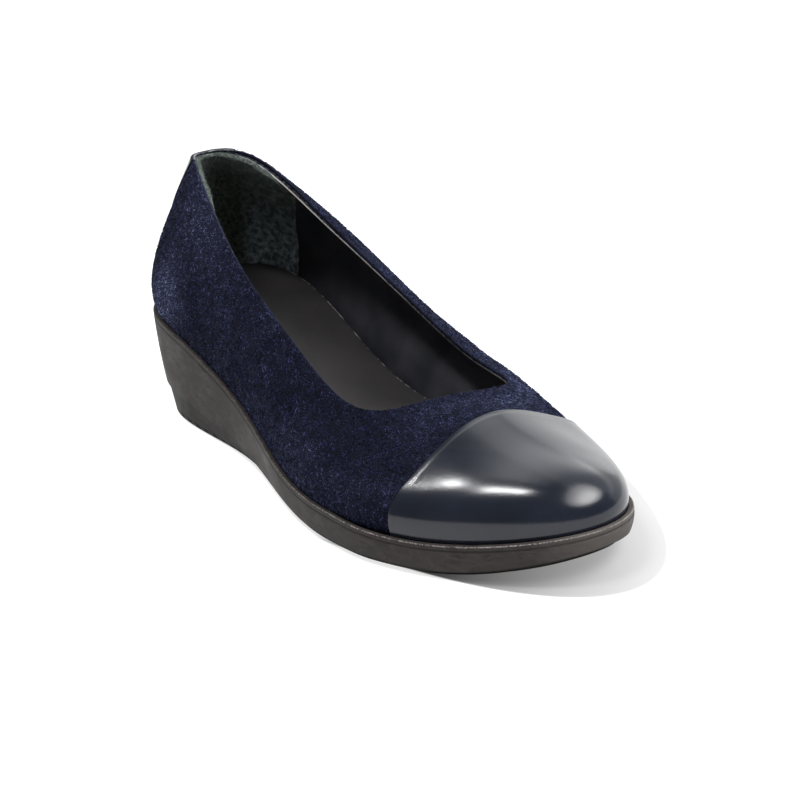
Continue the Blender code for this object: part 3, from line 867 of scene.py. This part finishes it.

# Coated sock leather: dark warm grey, dull, finely grained, with a painted highlight along its edge, broken
# into dashes.
sock_leather, shader, add, place = finish_of("sock_leather_dark_grey", Roughness=0.55,
                                             Specular_IOR_Level=0.4)
pore = add("TexNoise", {"Scale": 1.0 / (0.9 * MM), "Detail": 2.0, "Vector": place})
wear = add("TexNoise", {"Scale": 1.0 / (22.0 * MM), "Detail": 3.0, "Vector": place})
rub = add("MapRange", {"From Min": 0.35, "From Max": 0.68, "Value": wear})
body = add("Mix", {FIRST: "#1a1819", SECOND: "#252223", FACTOR: rub}, data_type="RGBA")
is_worn = add("Attribute", out="Fac", attribute_name="worn")
nick = add("TexNoise", {"Scale": 1.0 / (3.0 * MM), "Detail": 2.0, "Vector": place})
nicked = add("MapRange", {"From Min": 0.50, "From Max": 0.64, "Value": nick})
patches = add("Math", {0: is_worn, 1: nicked}, operation="MULTIPLY")
colour = add("Mix", {SECOND: "#8f8b88", FACTOR: patches, FIRST: body}, data_type="RGBA")
grain = add("Bump", {"Strength": 0.25, "Distance": 0.15 * MM, "Height": pore})
feed(shader, {"Base Color": colour, "Normal": grain})

insole = piece("insole_sock", skin(insole_skin, True, worn=worn), sock_leather)
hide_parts("insole")

# SOLE UNIT
# One moulding of dark brown-grey rubber, wedge and forefoot together, cemented to the lasted upper. A
# lip stands round its rim over a groove, and a step line runs low along the heel.
LIP_SLACK = 0.1           # between the lip and the upper
LIP_ROUND = 0.45          # rounding of the lip's outer edge
LIP_INNER_ROUND = 0.25    # and of its inner edge
LIP_HEIGHT = 1.5          # lip, from its top to the groove
GROOVE_IN = 0.45          # how deep the groove is cut round the front of the toe
GROOVE_FAINT = 0.30       # share of that depth along the rest
GROOVE_HIGH = 0.8
GROOVE_ROUND = 0.35       # rounding of the groove's edges
LEDGE = 0.8               # how far the band below the step line is set in
TREAD_ROUND = 1.0         # rounding of the tread's edge
PANEL_DRAW = 0.14         # share of the draw that the side has at the middle of its panel
STEP_DRAW = 0.42          # and at the step line
CAP_ROOM = 1.2            # how far the lip moves out round the toe cap
LIP_BLEND = 28.0          # behind the cap's edge the lip starts to move out for it here
LIP_CLEAR = 8.0           # and has moved out here
HEEL_FLAT_END = 93.0
BALL_FLAT_START = 148.0
BALL_FLAT_END = 198.0
ARCH_HEIGHT = 0.6
TOE_SPRING = 9.0
PANEL_ROWS = 14
BAND_ROWS = 14
TREAD_RINGS = 18

# By the loop's rows: how far the lip stands out from the feather line, and the side's draw to the tread
SOLE_COLUMNS = ("lip", "draw")
SOLE = [
    (2.3, 7.5),
    (1.9, 4.4),
    (1.6, 3.6),
    (1.7, 2.4),
    (1.8, 2.6),
    (2.2, 4.4),
    (2.2, 4.6),
    (2.1, 3.8),
    (2.1, 3.2),
    (1.9, 4.0),
    (1.7, 4.2),
    (1.7, 4.6),
]
sole_table = table(SOLE_COLUMNS, SOLE)


def tread_height(x):
    """Floor line: flat heel, low arch, flat forefoot, toe spring."""
    span = np.clip((x - HEEL_FLAT_END) / (BALL_FLAT_START - HEEL_FLAT_END), 0.0, 1.0)
    spring = np.clip((x - BALL_FLAT_END) / (LENGTH - BALL_FLAT_END), 0.0, None)
    return ARCH_HEIGHT * np.sin(np.pi * span)**2 + TOE_SPRING * spring**2


room = ease(x_ring, CAP_MID - LIP_BLEND, CAP_MID - LIP_CLEAR) * CAP_ROOM
lip_in = room + LIP_SLACK
lip_out = room + around(sole_table["lip"], t_ring)
draw = around(sole_table["draw"], t_ring)
rim = rim_height(x_ring)
groove_top = rim - LIP_HEIGHT
panel_top = groove_top - GROOVE_HIGH
tread = tread_height(x_ring)
step = tread + along(profile["at"], profile["step"], x_ring)
step_out = lip_out - STEP_DRAW * draw
foot_out = np.minimum(lip_out - draw, step_out - LEDGE)
front = between(t_ring, 5.5, 6.1, 7.6, 8.4)
groove_deep = GROOVE_FAINT + (1.0 - GROOVE_FAINT) * front
seat = ring(lip_in, rim - LIP_DEPTH)
tread_edge = ring(foot_out - TREAD_ROUND, tread)
scuffs = ease(x_ring, 95.0, 140.0) * 0.6 + 0.25       # painted highlight along the lip, strongest along the forefoot
sole_rows, groove_mark, tread_mark, rim_mark = [], [], [], []


def sole_row(row, in_groove=0.0, on_tread=0.0, on_rim=0.0):
    """One ring of the sole's section, with its painted shade in recesses, how far it lies on the tread,
    and its painted highlight on the rim.
    """
    sole_rows.append(row)
    for marks, mark in ((groove_mark, in_groove), (tread_mark, on_tread), (rim_mark, on_rim)):
        marks.append(np.broadcast_to(mark, t_ring.shape))


for f in (1.0, 0.5, 0.0):
    sole_row(toward_middle(seat, f, seat_height), 0.6)
sole_row(ring(lip_in, rim - LIP_INNER_ROUND), 0.6)
for a in quarter(4):
    sole_row(ring(lip_in + LIP_INNER_ROUND * (1.0 - cos(a)),
                  rim - LIP_INNER_ROUND * (1.0 - sin(a))))
for a in quarter(6):
    sole_row(ring(lip_out - LIP_ROUND * (1.0 - sin(a)), rim - LIP_ROUND * (1.0 - cos(a))),
             on_rim=scuffs * sin(2.0 * a))
sole_row(ring(lip_out, groove_top + GROOVE_ROUND))
for a in quarter(4)[1:]:
    sole_row(ring(lip_out - GROOVE_ROUND * groove_deep * (1.0 - cos(a)),
                  groove_top + GROOVE_ROUND * (1.0 - sin(a))), 0.4 * front)
for a in np.linspace(0.0, pi, 7):
    sole_row(ring(lip_out - groove_deep * (GROOVE_ROUND + (GROOVE_IN - GROOVE_ROUND) * sin(a)),
                  groove_top - GROOVE_HIGH * (1.0 - cos(a)) / 2.0),
             (0.4 + 0.6 * sin(a)) * (0.5 + 0.5 * front))
for a in quarter(4)[1:]:
    sole_row(ring(lip_out - GROOVE_ROUND * groove_deep * (1.0 - sin(a)),
                  panel_top - GROOVE_ROUND * (1.0 - cos(a))))
panel_start = panel_top - GROOVE_ROUND
for f in np.linspace(0.0, 1.0, PANEL_ROWS)[1:]:
    bow = 4.0 * f * (1.0 - f) * (STEP_DRAW / 2.0 - PANEL_DRAW)
    sole_row(ring(lip_out - (STEP_DRAW * f - bow) * draw, panel_start + (step - panel_start) * f),
             0.7 * (f == 1.0))
for a in quarter(5)[1:]:
    sole_row(ring(step_out - LEDGE * (1.0 - cos(a)), step - LEDGE / 2.0 * sin(a)), 1.0)
band_out, band_top = step_out - LEDGE, step - LEDGE / 2.0
for f in np.linspace(0.0, 1.0, BAND_ROWS)[1:]:
    sole_row(ring(band_out + (foot_out - band_out) * f, band_top + (tread + TREAD_ROUND - band_top) * f),
             max(0.0, 1.0 - 5.0 * f), 0.5 + 0.5 * (f > 0.85))
for a in quarter(5)[1:]:
    sole_row(ring(foot_out - TREAD_ROUND * (1.0 - cos(a)), tread + TREAD_ROUND * (1.0 - sin(a))),
             on_tread=1.0)
for f in np.linspace(0.0, 1.0, TREAD_RINGS)[1:]:
    sole_row(toward_middle(tread_edge, f, tread_height), on_tread=1.0)
sole_skin, groove_mark, tread_mark, rim_mark = (np.stack(rows, 1)[:, ::-1] for rows in (
    sole_rows, groove_mark, tread_mark, rim_mark))
dusty = 0.45 * ease(x_ring, 232.0, 250.0)[:, None]     # painted light on the front of the toe

# Moulded rubber: satin from the polished mould, faintly mottled, black and ribbed under foot where the
# tread is. Shade is painted dark into its grooves and recesses, a highlight along the lip's top and light
# on the front of the toe.
RIB_PITCH = 3.2
rubber, shader, add, place = finish_of("rubber_brown_grey_moulded", Roughness=0.52,
                                       Specular_IOR_Level=0.08)
fine = add("TexNoise", {"Scale": 1.0 / (0.6 * MM), "Detail": 2.0, "Vector": place})
flow = add("TexNoise", {"Scale": 1.0 / (13.0 * MM), "Detail": 3.0, "Distortion": 0.5, "Vector": place})
mottle = add("MapRange", {"From Min": 0.35, "From Max": 0.66, "Value": flow})
stretched = add("Mapping", {"Scale": (1.0, 1.0, 2.2), "Vector": place})
wrinkle = add("TexNoise", {"Scale": 1.0 / (5.0 * MM), "Detail": 4.0, "Roughness": 0.65,
              "Distortion": 0.8, "Vector": stretched})
cloud = add("MapRange", {"From Min": 0.36, "From Max": 0.64, "Value": wrinkle})
clouded = add("Mix", {FIRST: "#2a2726", SECOND: "#3e3a39", FACTOR: cloud}, data_type="RGBA")
side = add("Mix", {SECOND: "#383433", FACTOR: mottle, FIRST: clouded}, data_type="RGBA")
# painted shade in the grooves, under the insole's seat and along the step line
in_groove = add("Attribute", out="Fac", attribute_name="groove")
grooved = add("Mix", {SECOND: "#080707", FACTOR: in_groove, FIRST: side}, data_type="RGBA")
# painted highlight on the lip's top, broken up by fine grain
on_rim = add("Attribute", out="Fac", attribute_name="rim")
spark = add("MapRange", {"From Min": 0.42, "From Max": 0.66, "Value": fine})
scuffed = add("Math", {0: on_rim, 1: spark}, operation="MULTIPLY")
rimmed = add("Mix", {SECOND: "#a29c98", FACTOR: scuffed, FIRST: grooved}, data_type="RGBA")
# painted light on the front of the toe
is_dusty = add("Attribute", out="Fac", attribute_name="dusty")
dusted = add("Mix", {SECOND: "#6b6663", FACTOR: is_dusty, FIRST: rimmed}, data_type="RGBA")
on_tread = add("Attribute", out="Fac", attribute_name="tread")
colour = add("Mix", {SECOND: "#121212", FACTOR: on_tread, FIRST: dusted}, data_type="RGBA")
satin = add("MapRange", {"From Min": 0.3, "From Max": 0.7, "To Min": 0.42, "To Max": 0.6, "Value": flow})
rib = add("TexWave", {"Scale": 1.0 / (2.0 * RIB_PITCH * MM) / 3.14, "Vector": place}, "Fac",
          bands_direction="X")
under_foot = add("MapRange", {"From Min": 0.6, "From Max": 0.95, "Value": on_tread})
ribbed = add("Math", {0: rib, 1: under_foot}, operation="MULTIPLY")
ribs = add("Bump", {"Strength": 0.6, "Distance": 0.8 * MM, "Height": ribbed})
wrinkled = add("Bump", {"Strength": 0.3, "Distance": 0.35 * MM, "Height": wrinkle, "Normal": ribs})
skinned = add("Bump", {"Strength": 0.25, "Distance": 0.1 * MM, "Height": fine, "Normal": wrinkled})
feed(shader, {"Base Color": colour, "Roughness": satin, "Normal": skinned})

sole = piece("sole_moulding", skin(sole_skin, True, groove=groove_mark, tread=tread_mark, rim=rim_mark,
                                   dusty=dusty), rubber)
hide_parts("sole_unit")

# FLOOR
# A wide sheet of matt white paper under the shoe.
FLOOR_HALF = 4.0
FLOOR_DOWN = 0.0002       # so that the tread doesn't flicker in it
mesh = bmesh.new()
bmesh.ops.create_grid(mesh, x_segments=8, y_segments=8, size=FLOOR_HALF)
bmesh.ops.translate(mesh, verts=mesh.verts, vec=(0.0, 0.0, -FLOOR_DOWN))
data = bpy.data.meshes.new("floor")
mesh.to_mesh(data)
mesh.free()
floor = placed("floor", data)

# Matt paper that glows by its own emission all round, which keeps it evenly white. An oval of painted
# shadow lies under the forefoot, grey with less glow, darkest on the outer side and clearing towards the
# toe's inner side, so that the toe seems to leave a shadow.
SHADE_MIDDLE = (-0.100, 0.0144, 0.0)
SHADE_HALF = (0.2386, 0.0718, 1.0)          # half its length and width, in metres as all sizes of the floor
SHADE_EDGE = (0.99, 1.003)                  # its edge, in those halves
SHADE_BACK = (0.022, 0.05)                  # along the shoe, where it ends
SHADE_CLEARS = (0.533, 0.846, 0.0)          # the way in which it clears
SHADE_CLEARING = (0.010, 0.100)             # and from where to where
paper, shader, add, place = finish_of("paper_white_matt", Roughness=0.9, Specular_IOR_Level=0.0,
                                      Emission_Color=(1.0, 1.0, 1.0, 1.0))
from_toe = add("VectorMath", {1: SHADE_MIDDLE, 0: place}, operation="SUBTRACT")
in_halves = add("VectorMath", {1: SHADE_HALF, 0: from_toe}, operation="DIVIDE")
reach_out = add("VectorMath", {0: in_halves}, operation="LENGTH")
along_shoe = add("SeparateXYZ", {"Vector": place}, "X")
behind = add("MapRange", {"From Min": SHADE_BACK[0], "From Max": SHADE_BACK[1], "To Min": 1.0,
             "To Max": 0.0, "Value": along_shoe}, interpolation_type="SMOOTHSTEP")
beyond = add("MapRange", {"From Min": SHADE_EDGE[0], "From Max": SHADE_EDGE[1], "Value": reach_out},
             interpolation_type="SMOOTHSTEP")
bare = add("Math", {0: beyond, 1: behind}, operation="MAXIMUM")
sheet = add("Mix", {FIRST: "#7b7b7b", SECOND: "#a8a8a8", FACTOR: bare}, data_type="RGBA")
across_shade = add("VectorMath", {1: SHADE_CLEARS, 0: place}, operation="DOT_PRODUCT")
clearing = add("MapRange", {"From Min": SHADE_CLEARING[0], "From Max": SHADE_CLEARING[1], "To Max": 0.52,
               "Value": across_shade})
through = add("MapRange", {"To Max": 0.75, "Value": bare, "To Min": clearing})
feed(shader, {"Base Color": sheet, "Emission Strength": through})
floor.data.materials.append(paper)

# LIGHTS
# Two small strips overhead with a dim panel between, a round dish over the inner side, and behind the
# shoe a long panel, a far ceiling, a backdrop and a wall. Soft lamps are made of panels behind each other.
LIT = Vector((0.10, 0.0, 0.03))
OVERHEAD = (0.0, 0.0, 1.0)
DISH_SIDE = (-0.69, 0.73, 0.0)
PANEL_SIDE = (-0.41, 0.91, 0.0)
LIGHT = [     # name, middle from the lit spot, long side, way back from the face, shape, wide, long, glow
    ("strip_outer", (-0.94, -0.50, 1.5), (-0.87, 0.49, 0.0), OVERHEAD, "RECTANGLE", 0.09, 0.14, 130.0),
    ("strip_inner", (-0.21, -0.47, 1.5), (0.92, 0.39, 0.0), OVERHEAD, "RECTANGLE", 0.18, 0.56, 46.0),
    ("strip_between", (-0.60, -0.53, 1.5), (1.0, 0.0, 0.0), OVERHEAD, "RECTANGLE", 0.18, 0.55, 6.0),
    ("dish", (0.85, 0.73, 1.35), DISH_SIDE, OVERHEAD, "ELLIPSE", 0.65, 1.05, 3.2),
    ("dish_bowl", (0.85, 0.73, 1.36), DISH_SIDE, OVERHEAD, "ELLIPSE", 1.0, 1.6, 3.4),
    ("dish_rim", (0.85, 0.73, 1.37), DISH_SIDE, OVERHEAD, "ELLIPSE", 1.4, 2.2, 3.4),
    ("ceiling", (-1.32, 1.78, 1.5), PANEL_SIDE, OVERHEAD, "RECTANGLE", 0.34, 4.2, 0.8),
    ("ceiling_mid", (-1.32, 1.78, 1.51), PANEL_SIDE, OVERHEAD, "RECTANGLE", 0.64, 4.2, 0.8),
    ("ceiling_edge", (-1.32, 1.78, 1.52), PANEL_SIDE, OVERHEAD, "RECTANGLE", 0.94, 4.2, 0.7),
    ("ceiling_far", (-0.95, 2.6, 1.6), (0.0, 1.0, 0.0), OVERHEAD, "RECTANGLE", 2.9, 4.3, 0.6),
    ("backdrop", (-3.0, 3.3, 0.95), (0.74, 0.67, 0.0), (-0.67, 0.74, 0.0), "RECTANGLE", 2.0, 1.9, 1.2),
    ("wall", (-0.6, 2.5, 0.6), (1.0, 0.0, 0.0), (0.0, 1.0, 0.0), "RECTANGLE", 1.3, 3.0, 0.7),
]
for name, middle, long_side, facing, shape, wide, long, glow in LIGHT:
    lamp = bpy.data.lights.new(name, "AREA")
    lamp.shape = shape
    lamp.size = wide
    lamp.size_y = long
    lamp.energy = glow * pi * wide * long
    way_back = Vector(facing).normalized()
    side = Vector(long_side).cross(way_back).normalized()
    turned = Matrix((side, way_back.cross(side), way_back)).transposed().to_4x4()
    placed(name, lamp).matrix_world = Matrix.Translation(LIT + Vector(middle)) @ turned
world = bpy.data.worlds.new("studio")
bpy.context.scene.world = world
world.use_nodes = True
round_about = world.node_tree.nodes["Background"]
round_about.inputs["Color"].default_value = (1.0, 1.0, 1.0, 1.0)
round_about.inputs["Strength"].default_value = 0.20
bpy.context.scene.view_settings.view_transform = "Standard"

# CAMERA
# A long lens in front of the toe on the outer side, above the shoe and rolled a little.
TURN = radians(57.79)
RISE = radians(23.85)
ROLL = radians(-5.01)
DISTANCE = 1.1448
AIM = Vector((0.01163, 0.00455, 0.03289))
PICTURE = 800.0
FOCAL_PIXELS = 3119.8
lens = bpy.data.cameras.new("lens")
lens.sensor_width = 36.0
lens.lens = FOCAL_PIXELS / PICTURE * lens.sensor_width
lens.clip_start = 0.05
lens.clip_end = 20.0
camera = placed("camera", lens)
back = Vector((sin(TURN) * cos(RISE), -cos(TURN) * cos(RISE), sin(RISE)))
level = (-back).cross(Vector((0.0, 0.0, 1.0))).normalized()
upright = back.cross(level)
right = level * cos(ROLL) + upright * sin(ROLL)
top_of_frame = upright * cos(ROLL) - level * sin(ROLL)
turned = Matrix((right, top_of_frame, back)).transposed().to_4x4()
camera.matrix_world = Matrix.Translation(AIM + back * DISTANCE) @ turned
bpy.context.scene.camera = camera
